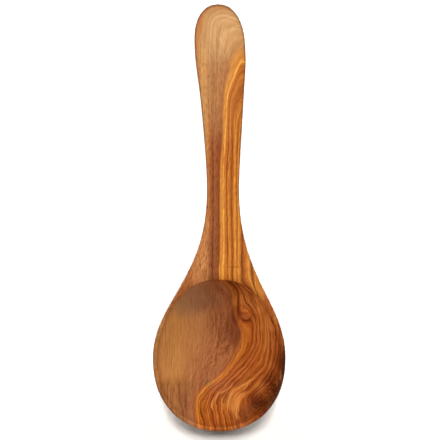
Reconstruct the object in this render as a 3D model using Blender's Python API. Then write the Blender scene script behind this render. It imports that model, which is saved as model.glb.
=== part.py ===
"""A wooden ladle, carved from one blank of olive wood.

The blank's own axes: X runs across the bowl, Y from the bowl's tip to the end of the grip, and Z up out
of the flat front face, which is Z = 0. Y = 0 is the bowl's widest line, and X = 0 is its middle. The
finished ladle is then laid on its back as it lies on a worktop. It stands there on two sanded flats,
under the bowl and under the grip's heel, with Z = 0 on the worktop and the origin below its middle.
"""

import math

import bmesh
import bpy
import numpy as np
from mathutils import Matrix

MM = 0.001

# The outline seen from the front
BOWL_WIDTH = 93.0 * MM
TIP_REACH = 51.0 * MM
SHOULDER_PLACE = 72.0 * MM
NECK_PLACE = 118.0 * MM
NECK_WIDTH = 22.6 * MM
GRIP_PLACE = 220.0 * MM
GRIP_WIDTH = 35.7 * MM
HEAD_REACH = 29.0 * MM

# How far the wood's middle lies to the right of the bowl's
SHOULDER_LEAN = 2.2 * MM
NECK_LEAN = 2.7 * MM
GRIP_LEAN = 0.5 * MM
HEAD_LEAN = -0.7 * MM

# Thickness from the front face to the back, and how far the grip falls back behind the bowl's rim
BOWL_DEPTH = 40.0 * MM
NECK_THICKNESS = 14.5 * MM
GRIP_THICKNESS = 13.0 * MM
GRIP_SWEEP = 7.0 * MM

# The rounding of the front edge: how far it goes in from the outline, and how far down
RIM_EDGE_WIDTH = 1.9 * MM
RIM_EDGE_DROP = 2.0 * MM
GRIP_EDGE_WIDTH = 6.5 * MM
GRIP_EDGE_DROP = 4.5 * MM
HEAD_EDGE_REACH = 9.0 * MM
GRIP_CROWN = 0.7 * MM

# The hollow that holds the liquid
RIM_WALL = 3.0 * MM
FLOOR_WALL = 6.0 * MM
HOLLOW_NECK_REACH = 54.8 * MM
HOLLOW_END_LENGTH = 28.0 * MM
LIP_EASING = 1.5 * MM

# How much wood is sanded off for the flats that the ladle stands on
FLAT_DEPTH = 0.8 * MM

# The curves between those sizes. A fullness is a superellipse's exponent: 2 is round, and more is squarer.
# Shares are places and amounts on the way from one size to the next, both as shares of that step.
TIP_FULLNESS = 2.17
UNDERSIDE_FULLNESS = 2.1
HEAD_FULLNESS = 2.25
EDGE_FULLNESS = 2.0
HOLLOW_END_FULLNESS = 2.9
HOLLOW_SIDE_FULLNESS = 1.9
HOLLOW_NECK_FULLNESS = 3.0
SHOULDER_SHARES = ((0.13, 0.055), (0.274, 0.236), (0.417, 0.489), (0.524, 0.666), (0.643, 0.824), (0.8, 0.95))
GRIP_SHARES = ((0.207, 0.114), (0.482, 0.417), (0.758, 0.78), (0.9, 0.98))
BACK_SHARES = ((0.17, 0.08), (0.34, 0.355), (0.51, 0.75), (0.66, 0.925), (0.8, 0.98))
LIP_TURN = math.radians(60)
WIDEST_EDGE_SHARE = 0.45

# How finely the surfaces are divided
TIP_STATIONS = 15
SHOULDER_STATIONS = 15
GRIP_STATIONS = 9
HEAD_STATIONS = 11
BACK_POINTS = 28
EDGE_POINTS = 5
FRONT_POINTS = 8
HOLLOW_POINTS = 56
HOLLOW_RINGS = 13
LIP_RINGS = 4
CUTTER_CLEARANCE = 1.0 * MM
SETTLING_STEPS = 12

OILED_COLOUR = (0.43, 0.16, 0.05, 1.0)
OILED_ROUGHNESS = 0.42

LADLE_END = GRIP_PLACE + HEAD_REACH


def clear_scene():
    for thing in list(bpy.data.objects):
        bpy.data.objects.remove(thing, do_unlink=True)


def new_collection(name):
    collection = bpy.data.collections.new(name)
    bpy.context.scene.collection.children.link(collection)
    return collection


def oiled_wood():
    material = bpy.data.materials.new("oiled_olive_wood")
    material.use_nodes = True
    shader = material.node_tree.nodes["Principled BSDF"]
    shader.inputs["Base Color"].default_value = OILED_COLOUR
    shader.inputs["Roughness"].default_value = OILED_ROUGHNESS
    shader.inputs["Metallic"].default_value = 0.0
    return material


def level_spline(*stations):
    """A cubic spline through (place, size) stations, level at both ends and constant beyond them."""
    place, size = np.array(stations, float).T
    step = np.diff(place)
    rise = np.diff(size) / step
    matrix = np.eye(len(place))
    wanted = np.zeros(len(place))
    for i in range(1, len(place) - 1):
        matrix[i, i - 1 : i + 2] = step[i], 2 * (step[i - 1] + step[i]), step[i - 1]
        wanted[i] = 3 * (step[i] * rise[i - 1] + step[i - 1] * rise[i])
    slope = np.linalg.solve(matrix, wanted)

    def at(where):
        i = np.clip(np.searchsorted(place, where) - 1, 0, len(step) - 1)
        t = np.clip((where - place[i]) / step[i], 0.0, 1.0)
        start = size[i] * (1 + 2 * t) * (1 - t) ** 2 + slope[i] * step[i] * t * (1 - t) ** 2
        end = size[i + 1] * t * t * (3 - 2 * t) + slope[i + 1] * step[i] * t * t * (t - 1)
        return start + end

    return at


def eased(first, last, shares):
    """The spline from the first (place, size) to the last, through the given shares of that step."""
    first, last = np.array(first), np.array(last)
    between = [first + np.array(share) * (last - first) for share in shares]
    return level_spline(first, *between, last)


def round_off(distance, reach, fullness):
    """1 where an end's rounding starts, falling to 0 at the end itself as a superellipse does."""
    share = np.clip(distance / reach, 0.0, 1.0)
    return (1.0 - share**fullness) ** (1.0 / fullness)


shoulder_width = eased((0.0, BOWL_WIDTH), (NECK_PLACE, NECK_WIDTH), SHOULDER_SHARES)
grip_width = eased((NECK_PLACE, NECK_WIDTH), (GRIP_PLACE, GRIP_WIDTH), GRIP_SHARES)
bowl_depth = eased((0.0, BOWL_DEPTH), (NECK_PLACE, NECK_THICKNESS), BACK_SHARES)
grip_depth = level_spline((NECK_PLACE, NECK_THICKNESS), (GRIP_PLACE, GRIP_THICKNESS))
lean = level_spline(
    (0.0, 0.0),
    (SHOULDER_PLACE, SHOULDER_LEAN),
    (NECK_PLACE, NECK_LEAN),
    (GRIP_PLACE, GRIP_LEAN),
    (LADLE_END, HEAD_LEAN),
)
edge_width = level_spline((SHOULDER_PLACE, RIM_EDGE_WIDTH), (NECK_PLACE, GRIP_EDGE_WIDTH))
edge_drop = level_spline((SHOULDER_PLACE, RIM_EDGE_DROP), (NECK_PLACE, GRIP_EDGE_DROP))
crown = level_spline((SHOULDER_PLACE, 0.0), (NECK_PLACE, GRIP_CROWN))


def half_width(y):
    if y < 0:
        return BOWL_WIDTH / 2 * round_off(-y, TIP_REACH, TIP_FULLNESS)
    if y < NECK_PLACE:
        return shoulder_width(y) / 2
    return grip_width(y) / 2 * round_off(y - GRIP_PLACE, HEAD_REACH, HEAD_FULLNESS)


def back_drop(y):
    """How far the back lies below the widest line of the section at y."""
    if y < 0:
        return (BOWL_DEPTH - RIM_EDGE_DROP) * round_off(-y, TIP_REACH, UNDERSIDE_FULLNESS)
    if y < NECK_PLACE:
        return bowl_depth(y) - edge_drop(y)
    return (grip_depth(y) - edge_drop(y)) * round_off(y - GRIP_PLACE, HEAD_REACH, HEAD_FULLNESS)


def front_rise(y):
    """How far the front stands above that line. The rounding of its edge goes round both ends as well."""
    tip = round_off(RIM_EDGE_WIDTH - (y + TIP_REACH), RIM_EDGE_WIDTH, EDGE_FULLNESS)
    head = round_off(HEAD_EDGE_REACH - (LADLE_END - y), HEAD_EDGE_REACH, EDGE_FULLNESS)
    return edge_drop(y) * tip * head


def widest_height(y):
    """The height of the widest line, which falls back towards the end of the grip."""
    share = max(0.0, y - SHOULDER_PLACE) / (LADLE_END - SHOULDER_PLACE)
    return -edge_drop(y) - GRIP_SWEEP * share**2


def section(y):
    """One closed section across the wood at y: along the back from right to left, then over the front."""
    half = half_width(y)
    edge = min(edge_width(y), WIDEST_EDGE_SHARE * half)
    land = half - edge
    back = np.linspace(0.0, math.pi, BACK_POINTS, endpoint=False)
    left = np.linspace(0.0, math.pi / 2, EDGE_POINTS, endpoint=False)
    right = left[:0:-1]
    across = np.linspace(-land, land, FRONT_POINTS)
    front_x = np.concatenate([-land - edge * np.cos(left), across, land + edge * np.cos(right)])
    share = np.concatenate([np.sin(left), np.ones(FRONT_POINTS), np.sin(right)])
    front_z = share * (front_rise(y) - crown(y) * (front_x / half) ** 2)
    x = np.concatenate([half * np.cos(back), front_x]) + lean(y)
    z = np.concatenate([-back_drop(y) * np.sin(back), front_z]) + widest_height(y)
    return np.column_stack([x, np.full(len(x), y), z])


def body_rings():
    """Sections from the tip to the end of the grip, closer together where the outline turns."""
    ends = [np.array([[lean(y), y, widest_height(y)]]) for y in (-TIP_REACH, LADLE_END)]
    tip = -TIP_REACH * np.cos(np.linspace(0.0, math.pi / 2, TIP_STATIONS))[1:-1]
    shoulder = np.linspace(0.0, NECK_PLACE, SHOULDER_STATIONS, endpoint=False)
    grip = np.linspace(NECK_PLACE, GRIP_PLACE, GRIP_STATIONS, endpoint=False)
    head = GRIP_PLACE + HEAD_REACH * np.sin(np.linspace(0.0, math.pi / 2, HEAD_STATIONS))[:-1]
    places = np.concatenate([tip, shoulder, grip, head])
    return [ends[0], *[section(y) for y in places], ends[1]]


def mouth_point(turn):
    """The hollow's mouth lies one wall inside the outline, and a round end closes it before the neck."""
    cosine, sine = math.cos(turn), math.sin(turn)
    if sine < 0:
        across = (BOWL_WIDTH / 2 - RIM_WALL) * abs(cosine) ** (2 / TIP_FULLNESS)
        return math.copysign(across, cosine), -(TIP_REACH - RIM_WALL) * abs(sine) ** (2 / TIP_FULLNESS)
    y = HOLLOW_NECK_REACH * sine
    past_sides = y - (HOLLOW_NECK_REACH - HOLLOW_END_LENGTH)
    across = (half_width(y) - RIM_WALL) * round_off(past_sides, HOLLOW_END_LENGTH, HOLLOW_END_FULLNESS)
    return math.copysign(across, cosine), y


def widened(outline, out):
    """A closed outline moved outwards by one distance, square to itself."""
    along = np.roll(outline, -1, axis=0) - np.roll(outline, 1, axis=0)
    outward = np.column_stack([along[:, 1], -along[:, 0]])
    return outline + out * outward / np.linalg.norm(outward, axis=1, keepdims=True)


def hollow_rings():
    """The hollow from its deepest point up its wall, out over the eased lip, and clear of the front face."""
    turns = np.linspace(0.0, 2 * math.pi, HOLLOW_POINTS, endpoint=False)
    mouth = np.array([mouth_point(turn) for turn in turns])
    towards_neck = np.clip(mouth[:, 1] / HOLLOW_NECK_REACH, 0.0, 1.0) ** 2
    fullness = HOLLOW_SIDE_FULLNESS + (HOLLOW_NECK_FULLNESS - HOLLOW_SIDE_FULLNESS) * towards_neck
    rings = [np.array([[0.0, 0.0, FLOOR_WALL - BOWL_DEPTH]])]
    for share in np.sin(np.linspace(0.0, math.pi / 2, HOLLOW_RINGS))[1:-1]:
        ring = share * mouth
        depth = [bowl_depth(y) - FLOOR_WALL for y in ring[:, 1]]
        rings.append(np.column_stack([ring, -np.array(depth) * round_off(share, 1.0, fullness)]))
    for turn in np.linspace(0.0, LIP_TURN, LIP_RINGS):
        out = LIP_EASING * (1 - math.cos(turn))
        height = -LIP_EASING * (1 - math.sin(turn))
        rings.append(np.column_stack([widened(mouth, out), np.full(HOLLOW_POINTS, height)]))
    out += (CUTTER_CLEARANCE - height) * math.tan(LIP_TURN)
    rings.append(np.column_stack([widened(mouth, out), np.full(HOLLOW_POINTS, CUTTER_CLEARANCE)]))
    return rings


def loft(name, rings, collection):
    """A closed surface through rings of points. A ring of one point is a pole, and any other end is capped."""
    surface = bmesh.new()
    layers = [[surface.verts.new(point) for point in ring] for ring in rings]
    for low, high in zip(layers, layers[1:]):
        for i in range(max(len(low), len(high))):
            after = i + 1
            corners = low[i % len(low)], low[after % len(low)], high[after % len(high)], high[i % len(high)]
            surface.faces.new(list(dict.fromkeys(corners)))
    for layer in (layers[0], layers[-1]):
        if len(layer) > 1:
            surface.faces.new(layer)
    bmesh.ops.recalc_face_normals(surface, faces=surface.faces)
    mesh = bpy.data.meshes.new(name)
    surface.to_mesh(mesh)
    surface.free()
    mesh.shade_smooth()
    thing = bpy.data.objects.new(name, mesh)
    collection.objects.link(thing)
    return thing


def worktop(collection):
    """A block whose top is the worktop. What lies below it is sanded off the ladle."""
    side = 2 * (TIP_REACH + LADLE_END)
    bpy.ops.mesh.primitive_cube_add(size=side, location=(0.0, 0.0, -side / 2))
    block = bpy.context.active_object
    block.name = "worktop_block"
    for owner in list(block.users_collection):
        owner.objects.unlink(block)
    collection.objects.link(block)
    return block


def cut(thing, cutter, name):
    cutter.hide_render = True
    cutter.display_type = "WIRE"
    modifier = thing.modifiers.new(name, "BOOLEAN")
    modifier.operation = "DIFFERENCE"
    modifier.solver = "EXACT"
    modifier.object = cutter


def resting_place(points):
    """Turned about X until the bowl and the heel lie equally low, then moved to stand on the origin."""
    bowl = points[points[:, 1] < NECK_PLACE]
    heel = points[points[:, 1] > NECK_PLACE]
    tilt = 0.0
    for _ in range(SETTLING_STEPS):
        turn = np.array(Matrix.Rotation(tilt, 3, "X"))
        low_bowl, low_heel = (min(part @ turn.T, key=lambda point: point[2]) for part in (bowl, heel))
        tilt -= math.atan2(low_heel[2] - low_bowl[2], low_heel[1] - low_bowl[1])
    placed = points @ np.array(Matrix.Rotation(tilt, 3, "X")).T
    low, high = placed.min(axis=0), placed.max(axis=0)
    middle = (low + high) / 2
    return Matrix.Translation((-middle[0], -middle[1], -low[2] - FLAT_DEPTH)) @ Matrix.Rotation(tilt, 4, "X")


def main():
    clear_scene()
    parts = new_collection("wooden_ladle")
    cutters = new_collection("cutters")
    ladle = loft("carved_ladle", body_rings(), parts)
    ladle.data.materials.append(oiled_wood())
    hollow = loft("hollow_cutter", hollow_rings(), cutters)
    points = np.array([vertex.co for vertex in ladle.data.vertices])
    ladle.matrix_world = hollow.matrix_world = resting_place(points)
    cut(ladle, hollow, "bowl_hollow")
    cut(ladle, worktop(cutters), "rest_flats")


main()
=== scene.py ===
"""The looks of a wooden ladle that is carved from one blank of olive wood, and lies on its back on a table.

The blank's own axes are used for its shape: X across the bowl, Y from the bowl's tip to the end of the grip,
Z up out of the flat front face, in millimetres. Y = 0 is the bowl's widest line and X = 0 is its middle. The
finished shape is then laid down as it rests on the table, in metres.
"""

import math

import bpy
import numpy as np
from mathutils import Matrix


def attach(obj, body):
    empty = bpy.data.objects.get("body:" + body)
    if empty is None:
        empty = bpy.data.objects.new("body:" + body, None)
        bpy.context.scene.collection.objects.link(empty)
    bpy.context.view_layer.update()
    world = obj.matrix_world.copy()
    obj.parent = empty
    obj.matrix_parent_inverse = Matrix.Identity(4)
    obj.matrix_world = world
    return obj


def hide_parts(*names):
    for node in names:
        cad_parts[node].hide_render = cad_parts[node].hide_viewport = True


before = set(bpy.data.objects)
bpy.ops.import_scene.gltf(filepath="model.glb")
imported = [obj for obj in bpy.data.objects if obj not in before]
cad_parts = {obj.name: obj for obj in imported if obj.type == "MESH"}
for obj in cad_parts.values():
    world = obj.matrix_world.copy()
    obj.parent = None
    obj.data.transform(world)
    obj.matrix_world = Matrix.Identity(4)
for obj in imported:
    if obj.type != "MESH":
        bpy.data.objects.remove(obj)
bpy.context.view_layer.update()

# The carved ladle: outline and thickness
# One piece of olive wood, sawn to this outline, then shaped with a drawknife and sanded. Nothing is glued or
# pinned to it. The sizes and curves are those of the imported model.
BOWL_WIDTH = 93.0
TIP_REACH = 51.0
SHOULDER_PLACE = 72.0
NECK_PLACE = 118.0
NECK_WIDTH = 22.6
GRIP_PLACE = 220.0
GRIP_WIDTH = 35.7
HEAD_REACH = 29.0
LADLE_END = GRIP_PLACE + HEAD_REACH
SHOULDER_LEAN = 2.2
NECK_LEAN = 2.7
GRIP_LEAN = 0.5
HEAD_LEAN = -0.7
BOWL_DEPTH = 40.0
NECK_THICKNESS = 14.5
GRIP_THICKNESS = 13.0
GRIP_SWEEP = 7.0
RIM_EDGE_WIDTH = 1.9
RIM_EDGE_DROP = 2.0
GRIP_EDGE_WIDTH = 6.5
GRIP_EDGE_DROP = 4.5
HEAD_EDGE_REACH = 9.0
GRIP_CROWN = 0.7
FLAT_DEPTH = 0.8
TIP_FULLNESS = 2.17
UNDERSIDE_FULLNESS = 2.1
HEAD_FULLNESS = 2.25
EDGE_FULLNESS = 2.0
WIDEST_EDGE_SHARE = 0.45
SHOULDER_SHARES = ((0.13, 0.055), (0.274, 0.236), (0.417, 0.489), (0.524, 0.666), (0.643, 0.824), (0.8, 0.95))
GRIP_SHARES = ((0.207, 0.114), (0.482, 0.417), (0.758, 0.78), (0.9, 0.98))
BACK_SHARES = ((0.17, 0.08), (0.34, 0.355), (0.51, 0.75), (0.66, 0.925), (0.8, 0.98))


def level_spline(*stations):
    """A cubic spline through (place, size) stations, level at both ends and constant beyond them."""
    place, size = np.array(stations, float).T
    step = np.diff(place)
    rise = np.diff(size) / step
    matrix = np.eye(len(place))
    wanted = np.zeros(len(place))
    for i in range(1, len(place) - 1):
        matrix[i, i - 1 : i + 2] = step[i], 2 * (step[i - 1] + step[i]), step[i - 1]
        wanted[i] = 3 * (step[i] * rise[i - 1] + step[i - 1] * rise[i])
    slope = np.linalg.solve(matrix, wanted)

    def at(where):
        i = np.clip(np.searchsorted(place, where) - 1, 0, len(step) - 1)
        t = np.clip((where - place[i]) / step[i], 0.0, 1.0)
        start = size[i] * (1 + 2 * t) * (1 - t) ** 2 + slope[i] * step[i] * t * (1 - t) ** 2
        end = size[i + 1] * t * t * (3 - 2 * t) + slope[i + 1] * step[i] * t * t * (t - 1)
        return start + end

    return at


def eased(first, last, shares):
    """The spline from the first (place, size) to the last, through the given shares of that step."""
    first, last = np.array(first), np.array(last)
    between = [first + np.array(share) * (last - first) for share in shares]
    return level_spline(first, *between, last)


def round_off(distance, reach, fullness):
    """1 where an end's rounding starts, falling to 0 at the end itself as a superellipse does."""
    share = np.clip(distance / reach, 0.0, 1.0)
    return (1.0 - share**fullness) ** (1.0 / fullness)


shoulder_width = eased((0.0, BOWL_WIDTH), (NECK_PLACE, NECK_WIDTH), SHOULDER_SHARES)
grip_width = eased((NECK_PLACE, NECK_WIDTH), (GRIP_PLACE, GRIP_WIDTH), GRIP_SHARES)
bowl_depth = eased((0.0, BOWL_DEPTH), (NECK_PLACE, NECK_THICKNESS), BACK_SHARES)
grip_depth = level_spline((NECK_PLACE, NECK_THICKNESS), (GRIP_PLACE, GRIP_THICKNESS))
lean = level_spline(
    (0.0, 0.0),
    (SHOULDER_PLACE, SHOULDER_LEAN),
    (NECK_PLACE, NECK_LEAN),
    (GRIP_PLACE, GRIP_LEAN),
    (LADLE_END, HEAD_LEAN),
)
edge_width = level_spline((SHOULDER_PLACE, RIM_EDGE_WIDTH), (NECK_PLACE, GRIP_EDGE_WIDTH))
edge_drop = level_spline((SHOULDER_PLACE, RIM_EDGE_DROP), (NECK_PLACE, GRIP_EDGE_DROP))
crown = level_spline((SHOULDER_PLACE, 0.0), (NECK_PLACE, GRIP_CROWN))


def half_width(y):
    """Half the outline's width: a superellipse round the tip, the shoulders, then the grip and its end."""
    tip = BOWL_WIDTH / 2 * round_off(-y, TIP_REACH, TIP_FULLNESS)
    grip = grip_width(y) / 2 * round_off(y - GRIP_PLACE, HEAD_REACH, HEAD_FULLNESS)
    return np.where(y < 0, tip, np.where(y < NECK_PLACE, shoulder_width(y) / 2, grip))


def back_drop(y):
    """How far the back lies below the widest line, rounded off at both ends."""
    tip = (BOWL_DEPTH - RIM_EDGE_DROP) * round_off(-y, TIP_REACH, UNDERSIDE_FULLNESS)
    grip = (grip_depth(y) - edge_drop(y)) * round_off(y - GRIP_PLACE, HEAD_REACH, HEAD_FULLNESS)
    return np.where(y < 0, tip, np.where(y < NECK_PLACE, bowl_depth(y) - edge_drop(y), grip))


def front_rise(y):
    """How far the front stands above the widest line, less at both ends, where the edge goes round."""
    tip = round_off(RIM_EDGE_WIDTH - (y + TIP_REACH), RIM_EDGE_WIDTH, EDGE_FULLNESS)
    head = round_off(HEAD_EDGE_REACH - (LADLE_END - y), HEAD_EDGE_REACH, EDGE_FULLNESS)
    return edge_drop(y) * tip * head


def widest_height(y):
    """The widest line's height, which falls back as a parabola towards the end of the grip."""
    share = np.maximum(0.0, y - SHOULDER_PLACE) / (LADLE_END - SHOULDER_PLACE)
    return -edge_drop(y) - GRIP_SWEEP * share**2


def front_height(x, y):
    """The front face before it is hollowed: nearly flat, with a quarter of an ellipse down to each edge."""
    half = np.maximum(half_width(y), 1e-6)
    edge = np.minimum(edge_width(y), WIDEST_EDGE_SHARE * half)
    past = np.clip((np.abs(x - lean(y)) - (half - edge)) / edge, 0.0, 1.0)
    share = np.sqrt(1.0 - past**2)
    return widest_height(y) + share * (front_rise(y) - crown(y) * ((x - lean(y)) / half) ** 2)


# The carved ladle: hollow
# The bowl is dug out with a gouge to a wall of a few millimetres, and its lip is eased with sandpaper until
# it feels round to the thumb. Towards the neck the hollow ends in a short, steep curve.
RIM_WALL = 3.0
FLOOR_WALL = 6.0
HOLLOW_NECK_REACH = 54.8
HOLLOW_END_LENGTH = 28.0
HOLLOW_END_FULLNESS = 2.9
HOLLOW_SIDE_FULLNESS = 1.9
HOLLOW_NECK_FULLNESS = 3.0
LIP_SLOPE = 1.2
LIP_SOFTNESS = 2.4
MOUTH_POINTS = 1440


def mouth_outline():
    """The hollow's mouth as (angle, radius, fullness): a superellipse one wall inside the tip's outline, and
    the outline less that wall towards the neck, where a superellipse closes it."""
    turn = np.linspace(-math.pi, math.pi, MOUTH_POINTS, endpoint=False)
    cosine, sine = np.cos(turn), np.sin(turn)
    tip_x = (BOWL_WIDTH / 2 - RIM_WALL) * np.abs(cosine) ** (2 / TIP_FULLNESS)
    tip_y = -(TIP_REACH - RIM_WALL) * np.abs(sine) ** (2 / TIP_FULLNESS)
    neck_y = HOLLOW_NECK_REACH * sine
    past_sides = neck_y - (HOLLOW_NECK_REACH - HOLLOW_END_LENGTH)
    neck_x = (half_width(neck_y) - RIM_WALL) * round_off(past_sides, HOLLOW_END_LENGTH, HOLLOW_END_FULLNESS)
    x = np.copysign(np.where(sine < 0, tip_x, neck_x), cosine)
    y = np.where(sine < 0, tip_y, neck_y)
    towards_neck = np.clip(y / HOLLOW_NECK_REACH, 0.0, 1.0) ** 2
    fullness = HOLLOW_SIDE_FULLNESS + (HOLLOW_NECK_FULLNESS - HOLLOW_SIDE_FULLNESS) * towards_neck
    order = np.argsort(np.arctan2(y, x))
    return np.arctan2(y, x)[order], np.hypot(x, y)[order], fullness[order]


mouth_angle, mouth_radius, mouth_fullness = mouth_outline()


def mouth_distance(x, y):
    """How far a point lies outside the mouth, measured along the ray from the middle of the bowl."""
    radius = np.interp(np.arctan2(y, x), mouth_angle, mouth_radius, period=2 * math.pi)
    return np.hypot(x, y) - radius


def hollow_height(x, y):
    """The hollow: its depth times a superellipse of the share of the way to the mouth, and a slope beyond."""
    angle = np.arctan2(y, x)
    radius = np.interp(angle, mouth_angle, mouth_radius, period=2 * math.pi)
    fullness = np.interp(angle, mouth_angle, mouth_fullness, period=2 * math.pi)
    distance = np.hypot(x, y)
    inside = -(bowl_depth(y) - FLOOR_WALL) * round_off(distance / radius, 1.0, fullness)
    return np.where(distance < radius, inside, LIP_SLOPE * (distance - radius))


def top_height(x, y):
    """The front face and the hollow joined by a smooth minimum, which rounds the lip between them."""
    front, hollow = front_height(x, y), hollow_height(x, y)
    return (front + hollow - np.sqrt((front - hollow) ** 2 + LIP_SOFTNESS**2)) / 2


# The carved ladle: mesh
# One closed skin over the whole piece of wood. Sections across the wood run from the tip to the end of the
# grip, and each one goes along the back from right to left and then over the front.
TIP_STATIONS = 84
BOWL_STATIONS = 44
APEX_STATIONS = 42
HANDLE_STATIONS = 84
HEAD_STATIONS = 44
APEX_START = 46.0
APEX_END = 59.0
BACK_POINTS = 72
TOP_POINTS = 156
FINE_POINTS = 1501
LIP_NEARNESS = 2.5
LIP_CROWDING = 3.0
SETTLING_STEPS = 12
METRES = 0.001


def stations():
    """Places of the sections along the wood, crowded at both ends and where the hollow ends."""
    tip = -TIP_REACH * np.cos(np.linspace(0.0, math.pi / 2, TIP_STATIONS, endpoint=False)[1:])
    bowl = np.linspace(0.0, APEX_START, BOWL_STATIONS, endpoint=False)
    apex = np.linspace(APEX_START, APEX_END, APEX_STATIONS, endpoint=False)
    handle = np.linspace(APEX_END, GRIP_PLACE, HANDLE_STATIONS, endpoint=False)
    head = GRIP_PLACE + HEAD_REACH * np.sin(np.linspace(0.0, math.pi / 2, HEAD_STATIONS))[:-1]
    return np.concatenate([tip, bowl, apex, handle, head])


def spread(x, z, crowding, count):
    """One section's profile, read again at places evenly spaced by its length times the crowding."""
    length = np.hypot(np.diff(x), np.diff(z)) * (crowding[1:] + crowding[:-1]) / 2
    run = np.concatenate([[0.0], np.cumsum(length)])
    return np.interp(np.linspace(0.0, run[-1], count + 1), run, x)[:-1]


def ladle_grid():
    """The skin as arrays of (stations, points): half an ellipse along the back, then the top's height."""
    place = stations()
    y = place[:, None]
    back = np.linspace(0.0, math.pi, BACK_POINTS, endpoint=False)
    back_x = half_width(y) * np.cos(back) + lean(y)
    back_z = widest_height(y) - back_drop(y) * np.sin(back)
    fine = np.sin(np.linspace(-math.pi / 2, math.pi / 2, FINE_POINTS))
    fine_x = half_width(y) * fine + lean(y)
    fine_y = np.broadcast_to(y, fine_x.shape)
    fine_z = top_height(fine_x, fine_y)
    crowding = 1.0 + LIP_CROWDING * np.exp(-((mouth_distance(fine_x, fine_y) / LIP_NEARNESS) ** 2))
    top_x = np.array([spread(*line, TOP_POINTS) for line in zip(fine_x, fine_z, crowding)])
    top_z = top_height(top_x, np.broadcast_to(y, top_x.shape))
    x = np.hstack([back_x, top_x])
    z = np.hstack([back_z, top_z])
    return x, np.broadcast_to(y, x.shape), z


def grid_faces(rows, columns):
    """Four-sided faces of a grid that is closed round its rows, and fans to a pole at each end."""
    here = np.arange(rows * columns).reshape(rows, columns)
    after = np.roll(here, -1, axis=1)
    sides = np.stack([here[:-1], after[:-1], after[1:], here[1:]], axis=-1).reshape(-1, 4)
    first, last = rows * columns, rows * columns + 1
    low = [(first, int(b), int(a)) for a, b in zip(here[0], after[0])]
    high = [(last, int(a), int(b)) for a, b in zip(here[-1], after[-1])]
    return sides.tolist() + low + high


def resting_place():
    """Turned about X until the lowest points under the bowl and under the heel are level, then moved so that
    the outline's middle is above the origin and the flats under the wood are on the table."""
    y = stations()
    keel = np.column_stack([np.zeros_like(y), y, widest_height(y) - back_drop(y)])
    tilt = 0.0
    for _ in range(SETTLING_STEPS):
        turned = keel @ np.array(Matrix.Rotation(tilt, 3, "X")).T
        bowl, heel = turned[y < NECK_PLACE], turned[y > NECK_PLACE]
        bowl, heel = bowl[bowl[:, 2].argmin()], heel[heel[:, 2].argmin()]
        tilt -= math.atan2(heel[2] - bowl[2], heel[1] - bowl[1])
    turn = Matrix.Rotation(tilt, 4, "X")
    turned = keel @ np.array(turn.to_3x3()).T
    ends = np.array([[0.0, place, float(widest_height(place))] for place in (-TIP_REACH, LADLE_END)])
    ends = ends @ np.array(turn.to_3x3()).T
    return Matrix.Translation((0.0, -ends[:, 1].mean(), -turned[:, 2].min() - FLAT_DEPTH)) @ turn


placement = resting_place()
grid_x, grid_y, grid_z = ladle_grid()
pole_y = np.array([-TIP_REACH, LADLE_END])
blank_points = np.vstack(
    [
        np.column_stack([grid_x.ravel(), grid_y.ravel(), grid_z.ravel()]),
        np.column_stack([lean(pole_y), pole_y, widest_height(pole_y)]),
    ]
)
placed = blank_points @ np.array(placement.to_3x3()).T + np.array(placement.translation)
placed[:, 2] = np.maximum(placed[:, 2], 0.0)

ladle_mesh = bpy.data.meshes.new("ladle_wood")
ladle_mesh.from_pydata(placed * METRES, [], grid_faces(*grid_x.shape))
ladle_mesh.shade_smooth()
ladle = bpy.data.objects.new("ladle_wood", ladle_mesh)
bpy.context.scene.collection.objects.link(ladle)

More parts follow.
